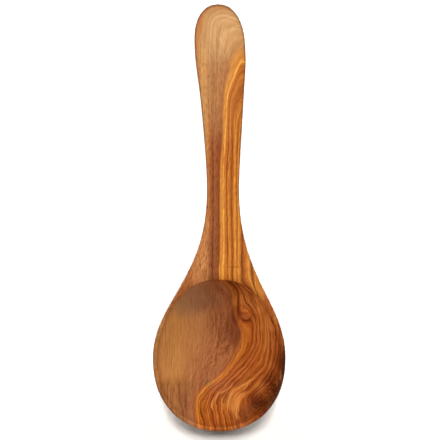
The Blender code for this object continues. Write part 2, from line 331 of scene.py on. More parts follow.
# The carved ladle: figure of the wood
# Olive grows in thin light and dark layers, and the saw cut this blank beside a knot. The lines below are
# layers seen on the front: each has its number and the points that it runs through, from the head down to
# the tip. The number is about the layer's place across the neck, in millimetres.
LAYER_LINES = {
    -45.0: ((-45, 230), (-45, 150), (-45, 60), (-45.5, 30), (-46, 0), (-45, -25), (-42, -45)),
    -30.0: ((-30, 235), (-30, 150), (-30, 100), (-30, 50), (-30.5, 20), (-31.2, -8), (-31, -28),
            (-29.5, -44)),
    -16.0: ((2, 251), (-7, 248.7), (-12.6, 243.5), (-15.4, 236), (-16.4, 226), (-16.4, 212), (-15.8, 190),
            (-15.6, 150), (-16, 110), (-16.5, 80), (-17, 60), (-17.6, 45), (-18, 30), (-18.4, 15),
            (-19.5, 3), (-21.5, -8), (-23.6, -19), (-24.8, -30), (-24, -40), (-22, -50)),
    -10.0: ((16.5, 243.5), (12, 245.3), (6, 246.6), (0, 246.2), (-5, 244), (-8.4, 240), (-10, 234),
            (-10.6, 226), (-11, 215), (-11.2, 200), (-10.6, 180), (-10.1, 160), (-9.8, 140), (-9.8, 110),
            (-10, 85), (-10.4, 65), (-10.9, 52), (-11.3, 44), (-11.2, 36), (-10.8, 28), (-10.8, 20),
            (-11.8, 12), (-14, 4), (-17, -4), (-20, -12), (-22.3, -20), (-23, -29), (-22, -38), (-20, -48)),
    -6.0: ((17, 235.5), (14, 237.6), (10, 239.5), (5, 241), (0.5, 241), (-3.3, 239), (-5.5, 235),
           (-6.3, 229), (-6.8, 220), (-7, 210), (-6.9, 195), (-6.5, 175), (-6.2, 155), (-6, 135), (-6, 110),
           (-6.2, 90), (-6.6, 75), (-7, 60), (-7.4, 52), (-7.4, 46), (-6.8, 40), (-5.6, 33), (-5, 26),
           (-5.2, 19), (-6.7, 12), (-9.6, 4), (-13, -4), (-16.5, -11), (-19, -18), (-20.4, -26),
           (-20.3, -35), (-18.5, -47)),
    -2.6: ((18, 229.2), (14.5, 230.9), (10.5, 231), (6.8, 229.4), (3.8, 226.3), (2.2, 222.5), (1.3, 217),
           (0.6, 210), (-0.2, 200), (-1, 187), (-1.5, 172), (-1.9, 155), (-2.2, 138), (-2.4, 120),
           (-2.4, 100), (-2.4, 80), (-2.8, 64), (-2.8, 55), (-1.2, 50), (1.5, 45.5), (4.2, 41), (5.8, 35.5),
           (6.4, 29), (6.8, 22), (6.8, 15), (5, 8.5), (1, 2.5), (-3.5, -3.5), (-8, -9), (-12.5, -14.5),
           (-16, -20.5), (-18.4, -27), (-18.9, -34), (-17.4, -46)),
    0.3: ((18.5, 213.5), (16.5, 215.3), (13, 214.3), (10.3, 211.5), (8.6, 207), (6.8, 200.5), (5, 194),
          (3.7, 188), (3, 180), (2.6, 168), (2.2, 152), (1, 140), (0.5, 125), (0.5, 100), (0.4, 80),
          (-0.3, 62), (0.1, 55), (3.2, 51.8), (6.8, 48), (9, 43), (9.9, 38), (10.7, 32), (12.6, 26),
          (14.8, 20), (15.2, 13), (14.2, 7), (11.3, 1), (7.5, -5), (3, -10.3), (-2, -14.9), (-7, -18.8),
          (-11.6, -23), (-15.3, -27.7), (-17, -33), (-17, -40), (-15.8, -48)),
    2.7: ((18.6, 207.6), (16.4, 209.2), (14.2, 206.8), (12.3, 203), (10.6, 199), (8.8, 194), (7, 189.5),
          (5.9, 185), (5.2, 179), (4.7, 168), (4.1, 158), (3.6, 149), (3.1, 139), (2.9, 124), (2.8, 100),
          (2.7, 80), (2, 62), (2.3, 55.5), (5.8, 51.8), (9.3, 48.2), (11.2, 44), (12, 38), (12.9, 31.5),
          (15, 26), (17.2, 20), (17.8, 12), (16.6, 6), (14, 0), (10, -5.8), (5, -11.3), (0, -16.3),
          (-5, -20.3), (-10, -24.3), (-13.7, -28.5), (-15.2, -33), (-14.9, -39), (-13, -48)),
    4.8: ((18.7, 203), (16.4, 205.8), (14.2, 203), (12.5, 199), (10.7, 194.7), (9, 190), (7.4, 185.5),
          (6.4, 179), (5.9, 168), (5.6, 158), (5.3, 149), (4.6, 139), (4.2, 124), (4.3, 100), (4.6, 80),
          (4.5, 66), (4.7, 58.5), (6, 55), (8.7, 52.6), (11.8, 49.4), (13.2, 45.5), (13.6, 40), (13.9, 34),
          (15, 29.4), (18, 27), (21.5, 25.6), (23.8, 21.5), (24.1, 14.5), (22.5, 8), (19.2, 2.5),
          (15.5, -2.5), (11.8, -7), (7.5, -11.8), (2.8, -16.6), (-2, -20.6), (-7, -24.6), (-10.8, -28.8),
          (-12.2, -33.5), (-11.6, -40), (-9.8, -48)),
    9.5: ((18.8, 187.5), (16, 184.8), (13.6, 181.3), (12, 177), (10.7, 172), (10, 166), (9.9, 158),
          (9.8, 149), (9.6, 138), (9.3, 124), (9.4, 110), (9.6, 95), (9.7, 80), (9.8, 68), (9.9, 60),
          (10.6, 55.4), (13.4, 51.5), (16, 47), (18, 42), (20.3, 37.4), (23, 33.5), (25.3, 28), (26.6, 21),
          (26.8, 14), (25.6, 7.5), (23, 1.8), (19.6, -3.5), (15.5, -8.3), (11, -12.8), (6, -17.2),
          (1.5, -21.2), (-2.5, -25.4), (-5, -29.8), (-5.8, -35), (-4.8, -41), (-3, -49)),
    14.4: ((16.5, 165), (14.9, 150), (14.3, 138), (14.1, 124), (14.1, 110), (14.4, 95), (14.5, 80),
           (14.4, 68), (14.5, 58), (15.2, 54), (17.8, 50.4), (21, 46.3), (23.4, 41.5), (25.9, 36.5),
           (28.2, 31), (29.7, 24), (30.2, 16), (29.4, 8.6), (27.2, 2.2), (23.6, -4), (19, -9.6),
           (14, -14.9), (9, -19.8), (4.6, -24.6), (2, -29.5), (1, -35.3), (1.9, -41.5), (3.5, -49)),
    18.6: ((18.4, 115), (18.4, 100), (18.4, 85), (18.6, 70), (18.9, 60), (20.2, 54), (22.2, 50.6),
           (25, 46.5), (27.8, 41), (30.2, 35.5), (32, 29.5), (33.1, 22.5), (33.3, 15), (32.6, 7.4),
           (30.6, 0.3), (27.4, -6.2), (23, -12.2), (18, -17.6), (12.8, -22.4), (8.7, -27), (6.4, -32),
           (6, -37.5), (7.3, -43), (9, -49)),
    22.8: ((22.4, 115), (22.2, 100), (22.2, 85), (22.4, 72), (22.7, 64), (23.3, 56), (25, 49), (28, 42),
           (31.3, 35), (33.8, 28), (35.4, 20), (36.2, 12), (36, 4.2), (34.4, -3.6), (31.3, -10.3),
           (26.8, -16), (21.5, -21), (16.2, -25.6), (12.3, -30.3), (10.6, -35.5), (11.2, -41.5), (13, -49)),
    27.0: ((27, 115), (27, 95), (27.2, 78), (27.9, 66), (29, 57), (31, 49), (34.2, 41), (37.2, 33),
           (39.2, 25), (40.3, 16), (40.4, 7), (39, -2), (36.2, -10), (32, -16.8), (27.3, -22.3),
           (23, -26.3), (21.4, -30), (23.3, -33.6), (27.6, -34.4), (32, -32), (35, -28)),
    32.0: ((38, 42), (41, 33), (43.4, 24), (44.6, 14), (44.8, 4), (43.4, -6), (40.5, -14), (36.5, -20.5),
           (32, -25.5), (28.5, -28.6), (27, -30.4)),
    38.0: ((44, 32), (46.5, 20), (47.8, 8), (47.2, -6), (44.5, -16.5), (40.5, -24.5)),
}
LINE_STEP = 3.0
LINE_SMOOTHING = 0.15
LAYER_SLANT = (0.45, -0.15)
FACE_LAST_LAYER = 30.0
FACE_LOW_END = 62.0
FACE_SIDE = 20.0
CARRIED_TO = 40.0
MOUTH_CLEARANCE = 0.5
FACE_SPAN = (18.0, 38.0)
HOLLOW_DEPTH_SPAN = (0.4, 5.4)
BOWL_TONE_SPAN = (-38.0, -22.0)
BELOW_SHOULDER_SPAN = (-46.0, -24.0)
RIM_TONE_AND_SHADE_SPAN = (-3.0, 1.0)
LEFT_RIM_START = (-8.0, -2.0)
LEFT_RIM_END = (-1.5, 0.5)
LEFT_RIM_SIDE = (5.0, 25.0)
LIP_BLEND = 6.0
FAN_WIDTH = 20.0
FAN_LOW_END = 40.0
HEAD_EDGE_SPAN = (60.0, 130.0)
HEAD_EDGE_SHARE = (0.9, 1.0)
BATCH = 4096


def line_points(points):
    """Points every few millimetres along a smooth curve through the given ones."""
    points = np.array(points, float)
    run = np.concatenate([[0.0], np.cumsum(np.hypot(*np.diff(points, axis=0).T))])
    where = np.linspace(0.0, run[-1], max(2, round(run[-1] / LINE_STEP)))
    x = level_spline(*zip(run, points[:, 0]))(where)
    y = level_spline(*zip(run, points[:, 1]))(where)
    return np.column_stack([x, y])


def bending(offset):
    """The thin plate's own function of distance, r squared times log r."""
    squared = (offset**2).sum(axis=-1)
    return 0.5 * squared * np.log(np.maximum(squared, 1e-12))


def thin_plate(points, values):
    """The smoothest plate through the values at the points: a plane plus a sum of bending functions."""
    count = len(points)
    flat = np.column_stack([np.ones(count), points])
    matrix = np.zeros((count + 3, count + 3))
    matrix[:count, :count] = bending(points[:, None] - points[None]) + LINE_SMOOTHING * np.eye(count)
    matrix[:count, count:] = flat
    matrix[count:, :count] = flat.T
    weight = np.linalg.solve(matrix, np.concatenate([values, np.zeros(3)]))

    def at(where):
        pieces = []
        for start in range(0, len(where), BATCH):
            part = where[start : start + BATCH]
            plane = np.column_stack([np.ones(len(part)), part]) @ weight[count:]
            pieces.append(plane + bending(part[:, None] - points[None]) @ weight[:count])
        return np.concatenate(pieces)

    return at


def smooth_step(low, high, value):
    """0 below the low value, 1 above the high one, and a smooth S between them."""
    t = np.clip((value - low) / (high - low), 0.0, 1.0)
    return t * t * (3 - 2 * t)


line_sets = [(layer, line_points(points)) for layer, points in LAYER_LINES.items()]
line_places = np.vstack([points for _, points in line_sets])
line_layers = np.concatenate([np.full(len(points), layer) for layer, points in line_sets])
layer_at = thin_plate(line_places, line_layers)


def face_points(points):
    """The part of a line on the front face. A line that meets the lip is carried straight on below it."""
    on_face = (points[:, 1] > FACE_LOW_END) | (np.abs(points[:, 0]) > FACE_SIDE)
    kept = points[(mouth_distance(*points.T) > MOUTH_CLEARANCE) & on_face]
    last_x, last_y = kept[-1]
    if abs(last_x) > FACE_SIDE or last_y < FACE_LOW_END:
        return kept
    below = np.arange(last_y - LINE_STEP, CARRIED_TO, -LINE_STEP)
    return np.vstack([kept, np.column_stack([np.full(len(below), last_x), below])])


face_sets = [(layer, face_points(points)) for layer, points in line_sets if layer < FACE_LAST_LAYER]
face_layer_at = thin_plate(
    np.vstack([points for _, points in face_sets]),
    np.concatenate([np.full(len(points), layer) for layer, points in face_sets]),
)
wood_x, wood_y, wood_z = blank_points.T
on_back = np.zeros(grid_x.shape)
on_back[:, :BACK_POINTS] = 1.0
on_back = np.append(on_back.ravel(), [0.0, 0.0])
on_front = 1.0 - on_back
below = on_back * (widest_height(wood_y) - wood_z)
seen = blank_points[:, :2] + below[:, None] * np.array(LAYER_SLANT)
in_hollow = on_front * smooth_step(*HOLLOW_DEPTH_SPAN, front_height(wood_x, wood_y) - wood_z)
face_share = (1.0 - in_hollow) * smooth_step(*FACE_SPAN, wood_y)
layer = layer_at(seen) * (1.0 - face_share) + face_layer_at(seen) * face_share
# Over the bowl, the rim and the back are toned as the hollow is.
in_hollow = np.maximum(in_hollow, smooth_step(*BOWL_TONE_SPAN, -wood_y))
past_mouth = mouth_distance(wood_x, wood_y)
side_share = np.abs(wood_x - lean(wood_y)) / np.maximum(half_width(np.minimum(wood_y, GRIP_PLACE)), 1e-6)
head_share = np.clip((wood_y - GRIP_PLACE) / HEAD_REACH, 0.0, 1.0)
towards_edge = (side_share**HEAD_FULLNESS + head_share**HEAD_FULLNESS) ** (1 / HEAD_FULLNESS)
# Painted shade along the outline of the grip and the head, where the surface turns away from the light.
painted_edge_shade = smooth_step(*HEAD_EDGE_SPAN, wood_y) * smooth_step(*HEAD_EDGE_SHARE, towards_edge)
below_shoulders = smooth_step(*BELOW_SHOULDER_SPAN, -wood_y)
# The rim's tone: darker in blotches of the wood's own, and painted shade that keeps its lit top as dark as
# the wall inside it.
near_rim = on_front * below_shoulders * smooth_step(*RIM_TONE_AND_SHADE_SPAN, past_mouth)
# Painted light on the wall just inside the left rim, where the left lamp leaves it in shade.
left_rim_painted_light = on_front * smooth_step(*LEFT_RIM_START, past_mouth) * smooth_step(*LEFT_RIM_END, -past_mouth)
left_rim_painted_light = left_rim_painted_light * below_shoulders * smooth_step(*LEFT_RIM_SIDE, -wood_x)
fan_place = np.clip(wood_y, FAN_LOW_END, GRIP_PLACE)
fan_x = wood_x * FAN_WIDTH / np.maximum(half_width(fan_place), 1e-6)
fan_x = fan_x * (1.0 - in_hollow) + wood_x * in_hollow
# Painted light just inside the upper lip and painted shade just outside it, which soften the edge of the
# lip's shadow.
across_lip = np.clip(past_mouth / LIP_BLEND, -1.0, 1.0)
painted_lip_light_and_shade = on_front * (1.0 - below_shoulders) * np.sign(-across_lip) * (1.0 - np.abs(across_lip))

for name, values in {
    "layer": layer, "in_hollow": in_hollow, "on_front": on_front, "near_rim": near_rim,
    "painted_edge_shade": painted_edge_shade, "painted_lip_light_and_shade": painted_lip_light_and_shade, "left_rim_painted_light": left_rim_painted_light, "fan_x": fan_x,
    "blank_x": seen[:, 0], "blank_y": seen[:, 1],
}.items():
    field = ladle_mesh.attributes.new(name, "FLOAT", "POINT")
    field.data.foreach_set("value", np.ascontiguousarray(values, np.float32))

# The carved ladle: oiled olive wood
# Sanded smooth and rubbed with oil, which leaves a low satin sheen. The layers set the colour, paler towards
# the head and browner in the hollow, with a painted sheen on the hollow's left, and fine fibres and pores run
# along them.
LAYER_RANGE = (-50.0, 50.0)
FACE_TONES = (
    (-22, (176, 104, 52)), (-14, (200, 130, 74)), (-10, (200, 132, 78)),
    (-7.2, (188, 120, 66)), (-6, (158, 92, 48)), (-4.9, (150, 84, 42)), (-4.3, (102, 46, 20)),
    (-3.7, (158, 92, 50)), (-0.4, (142, 72, 30)), (0.2, (168, 96, 38)),
    (0.8, (218, 142, 58)), (1.7, (226, 148, 60)), (2.1, (204, 124, 44)), (2.7, (250, 172, 76)),
    (3.4, (248, 170, 74)), (4.0, (214, 130, 44)), (4.6, (200, 116, 36)), (5.3, (210, 126, 42)),
    (6.1, (146, 72, 16)), (7.1, (228, 146, 60)), (7.9, (208, 122, 40)), (8.9, (136, 66, 14)),
    (9.9, (206, 120, 40)), (11.2, (238, 156, 64)), (12.3, (178, 96, 24)), (13.9, (238, 156, 64)),
    (16.0, (136, 64, 18)), (18.0, (198, 112, 40)), (20.8, (230, 150, 62)), (22.8, (108, 46, 14)),
    (24.2, (212, 134, 52)), (34, (160, 86, 34)),
)
HOLLOW_TONES = (
    (-50, (166, 106, 58)), (-31, (186, 124, 66)), (-20, (176, 115, 63)),
    (-8, (184, 120, 70)), (-4.6, (184, 117, 69)), (-1.2, (177, 107, 59)), (0.0, (172, 100, 49)),
    (0.8, (192, 110, 46)), (1.8, (214, 128, 54)),
    (3.0, (206, 120, 44)), (4.4, (188, 98, 30)), (4.9, (84, 32, 12)), (5.4, (176, 90, 34)),
    (7.4, (200, 110, 44)), (8.8, (178, 92, 38)), (9.5, (92, 38, 14)), (10.2, (182, 96, 38)),
    (12.2, (204, 114, 48)), (13.3, (140, 66, 26)), (14.4, (206, 118, 50)), (16.6, (176, 92, 36)),
    (18.4, (210, 124, 54)), (20.2, (156, 78, 30)), (21.4, (208, 120, 52)), (22.8, (132, 62, 24)),
    (24.4, (192, 104, 42)), (25.7, (184, 98, 40)), (26.5, (104, 46, 18)), (27.3, (176, 90, 36)),
    (28.6, (116, 52, 22)), (29.8, (158, 78, 32)), (36, (110, 50, 20)),
)
HEAD_TONES = (
    (-50, (190, 124, 78)), (-17, (196, 128, 78)), (-14.5, (200, 134, 82)), (-12.5, (196, 142, 90)),
    (-11, (206, 152, 96)), (-9, (196, 140, 86)), (-7.4, (210, 160, 104)), (-6.4, (202, 148, 94)),
    (-5.9, (230, 182, 124)), (-5.2, (206, 154, 98)), (-4.2, (216, 166, 110)), (-3.2, (202, 148, 94)),
    (-2.7, (222, 172, 114)), (-2, (208, 154, 98)), (-1.2, (214, 160, 102)), (-0.2, (202, 142, 86)),
    (0.6, (216, 146, 70)), (1.6, (222, 146, 64)), (2.1, (206, 126, 50)), (2.7, (252, 176, 82)),
    (3.4, (250, 174, 80)), (4.1, (206, 124, 50)), (4.8, (190, 108, 42)), (50, (190, 110, 50)),
)
# Oval patches that make the tone lighter, darker or redder: the middle, the reach and the change of the tone.
# Those marked below are painted light and shade.
# They lie anywhere on the wood, on the hollow's brown side, on its golden side, or anywhere in the hollow.
WOOD_PATCHES = (
    ((0.0, 249.0), (18.0, 11.0), (0.93, 0.88, 0.84)),
    ((-12.8, 235.0), (2.4, 10.0), (1.0, 0.84, 0.72)),
    ((11.0, -32.0), (6.0, 10.0), (1.1, 1.24, 1.3)),
    ((-13.0, -30.0), (4.0, 12.0), (1.1, 1.24, 1.3)),
    ((6.0, 139.0), (9.0, 18.0), (0.94, 0.86, 0.8)),
    ((2.5, 83.0), (4.5, 15.0), (0.92, 0.85, 0.86)),
    ((-6.0, 128.0), (6.0, 55.0), (1.14, 1.1, 1.02)),
)
BROWN_PATCHES = (
    ((4.0, 33.0), (18.0, 34.0), (0.8, 0.74, 0.74)),
    ((13.0, 20.0), (9.0, 18.0), (0.68, 0.56, 0.5)),
    ((6.0, 49.0), (9.0, 9.0), (1.18, 1.26, 1.36)),
)
GOLD_PATCHES = (
    ((8.0, 50.0), (8.0, 13.0), (0.8, 0.76, 0.84)),
    ((18.5, 17.0), (6.0, 16.0), (0.86, 0.78, 0.74)),
)
HOLLOW_PATCHES = (
    # Painted light: the hollow inside the right rim, lighter where the lamp beyond the head leaves it in
    # shade.
    ((35.0, 24.0), (13.0, 24.0), (1.18, 1.32, 1.5)),
    ((19.0, 42.0), (12.0, 10.0), (1.16, 1.26, 1.4)),
    # Painted light: the wall inside the lower left rim, which the left lamp doesn't reach.
    ((-38.0, -27.0), (9.0, 14.0), (1.12, 1.16, 1.24)),
    # Painted shadow: the lip's shadow, greyer and darker in the upper left of the hollow, on top of the
    # lamp's own.
    ((-22.0, 42.0), (24.0, 18.0), (0.76, 0.86, 1.2)),
    ((-40.0, 14.0), (11.0, 28.0), (0.95, 0.98, 0.98)),
    ((27.0, 38.0), (9.0, 9.0), (1.32, 1.5, 1.8)),
    # Painted light inside the right rim, as above.
    ((38.5, 27.0), (7.0, 11.0), (1.44, 1.6, 1.85)),
    ((43.0, 9.0), (5.0, 13.0), (1.42, 1.62, 1.85)),
    ((31.0, -23.5), (9.0, 8.0), (1.28, 1.5, 1.7)),
    ((-31.0, -5.0), (12.0, 14.0), (1.04, 1.08, 1.1)),
    ((12.0, 10.0), (4.5, 14.0), (0.92, 0.86, 0.82)),
    ((-7.0, 50.0), (6.0, 7.0), (0.88, 0.83, 0.82)),
    ((3.0, 52.0), (5.0, 6.0), (1.1, 1.14, 1.3)),
    ((27.0, -35.0), (7.0, 6.0), (0.8, 0.84, 1.0)),
    ((25.0, -4.0), (9.0, 10.0), (0.93, 0.86, 0.8)),
    ((-10.0, 42.0), (7.0, 14.0), (0.89, 0.84, 0.82)),
    ((11.5, 29.0), (4.5, 9.0), (0.74, 0.62, 0.62)),
    ((18.0, 25.5), (5.0, 3.5), (0.86, 0.8, 0.88)),
    ((-10.5, -36.0), (8.0, 9.0), (1.16, 1.34, 1.5)),
    ((5.0, -35.0), (5.0, 7.0), (1.08, 1.18, 1.24)),
    ((13.5, -19.0), (6.0, 5.0), (0.7, 0.6, 0.5)),
    # Painted light inside the right rim, as above.
    ((33.0, 35.0), (6.0, 9.0), (1.16, 1.22, 1.34)),
    ((37.0, -8.0), (5.0, 8.0), (1.26, 1.4, 1.6)),
    ((42.0, -15.5), (4.0, 6.0), (1.2, 1.5, 2.0)),
    ((30.0, -21.0), (5.0, 5.0), (1.18, 1.34, 1.5)),
    ((24.0, -36.5), (6.0, 5.5), (0.76, 0.72, 0.8)),
    ((14.0, -41.0), (8.0, 5.0), (0.8, 0.76, 0.82)),
    ((18.0, 41.0), (5.0, 5.0), (1.26, 1.42, 1.55)),
    ((18.0, -14.5), (4.0, 4.0), (0.82, 0.78, 0.7)),
    ((36.0, -30.0), (4.0, 4.0), (1.15, 1.3, 1.6)),
    ((18.0, 27.5), (6.0, 5.0), (0.84, 0.74, 0.84)),
    ((30.0, 15.0), (5.0, 7.0), (0.9, 0.84, 0.72)),
    ((-14.0, 36.5), (7.0, 7.0), (0.87, 0.8, 0.8)),
    ((0.0, 40.0), (4.0, 5.0), (1.06, 1.2, 1.4)),
    ((-8.0, -19.0), (5.0, 4.0), (0.8, 0.96, 1.02)),
    ((4.6, -30.0), (6.0, 5.0), (0.82, 0.82, 0.8)),
    ((-20.0, -23.0), (5.0, 7.0), (0.86, 0.9, 0.78)),
    ((4.6, 16.0), (6.0, 7.0), (0.86, 0.82, 0.8)),
    ((24.0, -9.0), (5.0, 6.0), (0.88, 0.8, 0.72)),
    ((38.0, -29.0), (5.0, 6.0), (0.76, 0.9, 1.2)),
    ((4.0, -26.0), (5.0, 5.0), (0.86, 0.84, 0.8)),
)
# Thin strokes: the middle of the run, half the length, the curve's place, slope and bend, the width, and how
# strongly it shows.
GOLD_STROKES = (
    (-29.0, 9.5, (11.2, 0.357, 0.029), 1.1, 0.6),
    (-26.0, 13.0, (18.9, 0.14, 0.01), 1.5, 0.8),
    (-34.0, 11.0, (23.4, 0.0, 0.0), 1.8, 0.85),
)
HOOK_TOPS = ((18.8, 5.6, (25.4, 0.0, 0.16), 1.1, 1.0), (18.6, 5.0, (30.8, 0.05, 0.12), 0.8, 0.7))
HOOK_SIDES = ((34.0, 9.5, (13.2, 0.0, 0.012), 1.3, 0.9),)
VEINS = (
    (17.0, 10.5, (0.2, 0.12, 0.006), 0.8, 0.5),
    (7.5, 8.0, (7.2, 0.35, -0.09), 0.8, 0.55),
    (22.0, 9.0, (5.5, 0.1, 0.01), 0.8, 0.3),
    (-29.0, 13.0, (-27.4, -0.2, 0.004), 1.2, 0.75),
    (-32.0, 12.0, (-33.5, -0.1, 0.0), 1.0, 0.5),
    (-33.0, 12.0, (-23.0, -0.1, 0.0), 1.0, 0.45),
)
PALE_VEIN = (-19.0, 15.0, (-20.6, 0.02, 0.0), 1.3, 0.8)
VEIN_CHANGE = (0.56, 0.44, 0.42)
RING_MIDDLE = (28.5, -30.0)
ROUGHNESS = 0.42
FLECK_ROUGHNESS = 0.14
SHEEN = 0.15
RELIEF_STRENGTH = 0.12
RELIEF_DEPTH = 0.0002


def linear(tone):
    """A tone as it looks on a screen, from 0 to 255, as the light that it stands for."""
    share = np.array(tone) / 255
    return (*np.where(share <= 0.04045, share / 12.92, ((share + 0.055) / 1.055) ** 2.4), 1.0)


wood = bpy.data.materials.new("oiled_olive_wood")
wood.use_nodes = True
tree = wood.node_tree
shader = tree.nodes["Principled BSDF"]


def put(kind, settings=None, **inputs):
    """A node of that kind, with its settings, and its sockets set to values or joined to other sockets."""
    node = tree.nodes.new(kind)
    for name, value in (settings or {}).items():
        setattr(node, name, value)
    for name, value in inputs.items():
        key = int(name[1:]) if name[1:].isdigit() else name.replace("_", " ")
        if isinstance(value, bpy.types.NodeSocket):
            tree.links.new(value, node.inputs[key])
        else:
            node.inputs[key].default_value = value
    return node


def math_node(operation, first, second=0.0, third=0.0):
    return put("ShaderNodeMath", {"operation": operation}, _0=first, _1=second, _2=third).outputs[0]


def times(first, second):
    return math_node("MULTIPLY", first, second)


def scaled(value, gain, base):
    """The value times the gain, plus the base."""
    return math_node("MULTIPLY_ADD", value, gain, base)


def less(first, second):
    """The first less the second."""
    return math_node("SUBTRACT", first, second)


def rest(share):
    """What is left of 1."""
    return less(1.0, share)


def larger(first, second):
    return math_node("MAXIMUM", first, second)


def mixed(factor, first, second, blend="MIX"):
    """One colour over another, by the factor."""
    settings = {"data_type": "RGBA", "blend_type": blend, "clamp_factor": True}
    return put("ShaderNodeMix", settings, _0=factor, _6=first, _7=second).outputs[2]


def mixed_value(factor, first, second):
    """One number over another, by the factor."""
    return scaled(less(second, first), factor, first)


def swung(value, noise, width):
    """The value, moved to both sides by the noise, over the width."""
    return scaled(less(noise, 0.5), width, value)


def tinted(tone, share, change):
    """The tone times the change of its red, green and blue, by the share."""
    return mixed(share, tone, (*change, 1.0), "MULTIPLY")


def painted(tone, share, colour):
    """The colour over the tone, by the share."""
    return mixed(share, tone, linear(colour))


def attribute(name):
    """One of the fields that the mesh carries."""
    return put("ShaderNodeAttribute", {"attribute_name": name}).outputs["Fac"]


def fibres(across, along, scale, detail=3.0, roughness=0.6, seed=0.0):
    """Noise stretched along the layers: its scale is in marks to a layer, and to a millimetre along it."""
    place = put("ShaderNodeCombineXYZ", None, X=times(across, scale[0]), Y=times(along, scale[1]), Z=seed)
    sizes = {"Scale": 1.0, "Detail": detail, "Roughness": roughness}
    return put("ShaderNodeTexNoise", None, Vector=place.outputs[0], **sizes).outputs[0]


def ramp(value, tones):
    """The tones as stops of a colour ramp over the whole range of layers."""
    low, high = LAYER_RANGE
    node = put("ShaderNodeValToRGB", None, _0=value)
    stops = node.color_ramp.elements
    while len(stops) < len(tones):
        stops.new(0.5)
    for stop, (layer, tone) in zip(stops, tones):
        stop.position = (layer - low) / (high - low)
        stop.color = linear(tone)
    return node.outputs[0]


def between(value, low, high):
    """0 at the low value and 1 at the high one, in a smooth S."""
    settings = {"interpolation_type": "SMOOTHSTEP", "clamp": True}
    node = put("ShaderNodeMapRange", settings, Value=value, From_Min=low, From_Max=high)
    return node.outputs[0]


def spot(middle, reach):
    """1 at the middle of an oval patch of the front, falling smoothly to 0 at its reach."""
    off_x = times(less(side, middle[0]), 1 / reach[0])
    off_y = times(less(along, middle[1]), 1 / reach[1])
    squared = scaled(off_x, off_x, times(off_y, off_y))
    return between(rest(squared), 0.0, 1.0)


def stroke(run, off, middle, half_length, curve, width, strength):
    """The strength on a short thin line, where off is as far as the curve is at that run: its place, plus
    its slope and bend times the run from the middle and that run squared."""
    gone = less(run, middle)
    place = scaled(gone, scaled(gone, curve[2], curve[1]), curve[0])
    apart = math_node("ABSOLUTE", less(off, place))
    near = rest(between(apart, 0.15 * width, width))
    within = rest(between(math_node("ABSOLUTE", gone), 0.6 * half_length, half_length))
    return times(times(near, within), strength)


def dark_lines(scale, spacing, drift, width, seed):
    """Thin dark lines between the layers, unevenly spaced, which fade out and join: 1 in a line, else 0."""
    warp = fibres(across, along, scale, seed=seed)
    phase = scaled(across, 1 / spacing, times(warp, drift))
    line = rest(between(math_node("PINGPONG", phase, 0.5), 0.0, width))
    shown = between(fibres(across, along, (0.5, 0.03), detail=2.0, seed=seed + 3.0), 0.4, 0.62)
    return times(line, shown)


across = attribute("layer")
along = attribute("blank_y")
side = attribute("blank_x")
fan = attribute("fan_x")
hollow_share = attribute("in_hollow")

# The layers curl a little, most in the golden wood of the hollow. On the pale left of the face their fibres
# fan out with the outline.
curl = fibres(side, along, (0.1, 0.08), seed=51.0)
curl_depth = scaled(hollow_share, scaled(between(across, 1.0, 6.0), 2.0, 1.6), 0.3)
across = swung(across, curl, curl_depth)
fanned = times(rest(between(across, -12.0, -7.0)), rest(hollow_share))
grain = mixed_value(fanned, scaled(side, 0.25, across), fan)
wander = fibres(across, along, (0.35, 0.022), roughness=0.55)
strands = fibres(grain, along, (1.1, 0.03), seed=4.0)
moved = swung(across, wander, scaled(hollow_share, 1.3, 0.7))
moved = swung(moved, strands, scaled(hollow_share, 0.25, 0.6))
place = scaled(moved, 1 / (LAYER_RANGE[1] - LAYER_RANGE[0]), 0.5)

# Each layer has its tone, paler towards the head, and another in the hollow.
paleness = scaled(between(along, 136.0, 186.0), 0.55, times(between(along, 202.0, 226.0), 0.45))
smooth_head = between(along, 210.0, 230.0)
tone = mixed(paleness, ramp(place, FACE_TONES), ramp(place, HEAD_TONES))
tone = mixed(hollow_share, tone, ramp(place, HOLLOW_TONES))
strip_edge = between(across, -8.2, -7.0)
brown_run = less(between(along, 124.0, 152.0), between(along, 192.0, 216.0))
brown_strip = times(less(strip_edge, between(across, -1.0, 0.4)), brown_run)
tone = tinted(tone, brown_strip, (0.95, 0.85, 0.74))
left_strip = times(rest(strip_edge), less(between(along, 126.0, 150.0), smooth_head))
tone = tinted(tone, left_strip, (1.15, 1.24, 1.18))
calm = spot((18.5, -40.0), (9.0, 9.0))
tone = painted(tone, times(spot((10.5, -32.5), (7.5, 10.0)), 0.35), (214, 134, 66))
tone = painted(tone, times(calm, 0.8), (158, 88, 44))
brown_side = times(rest(between(across, -0.6, 0.3)), hollow_share)
gold_side = times(between(across, -0.4, 0.6), hollow_share)
for patches, ground in (
    (WOOD_PATCHES, 1.0),
    (BROWN_PATCHES, brown_side),
    (GOLD_PATCHES, gold_side),
    (HOLLOW_PATCHES, hollow_share),
):
    for middle, reach, change in patches:
        tone = tinted(tone, times(spot(middle, reach), ground), change)
tone = tinted(tone, times(between(side, 30.6, 32.4), rest(hollow_share)), (0.82, 0.64, 0.84))
# The short mark across the grain is only on the surface, so the underside has none.
tone = tinted(tone, times(spot((10.5, 64.2), (7.0, 0.7)), attribute("on_front")), (0.72, 0.66, 0.6))

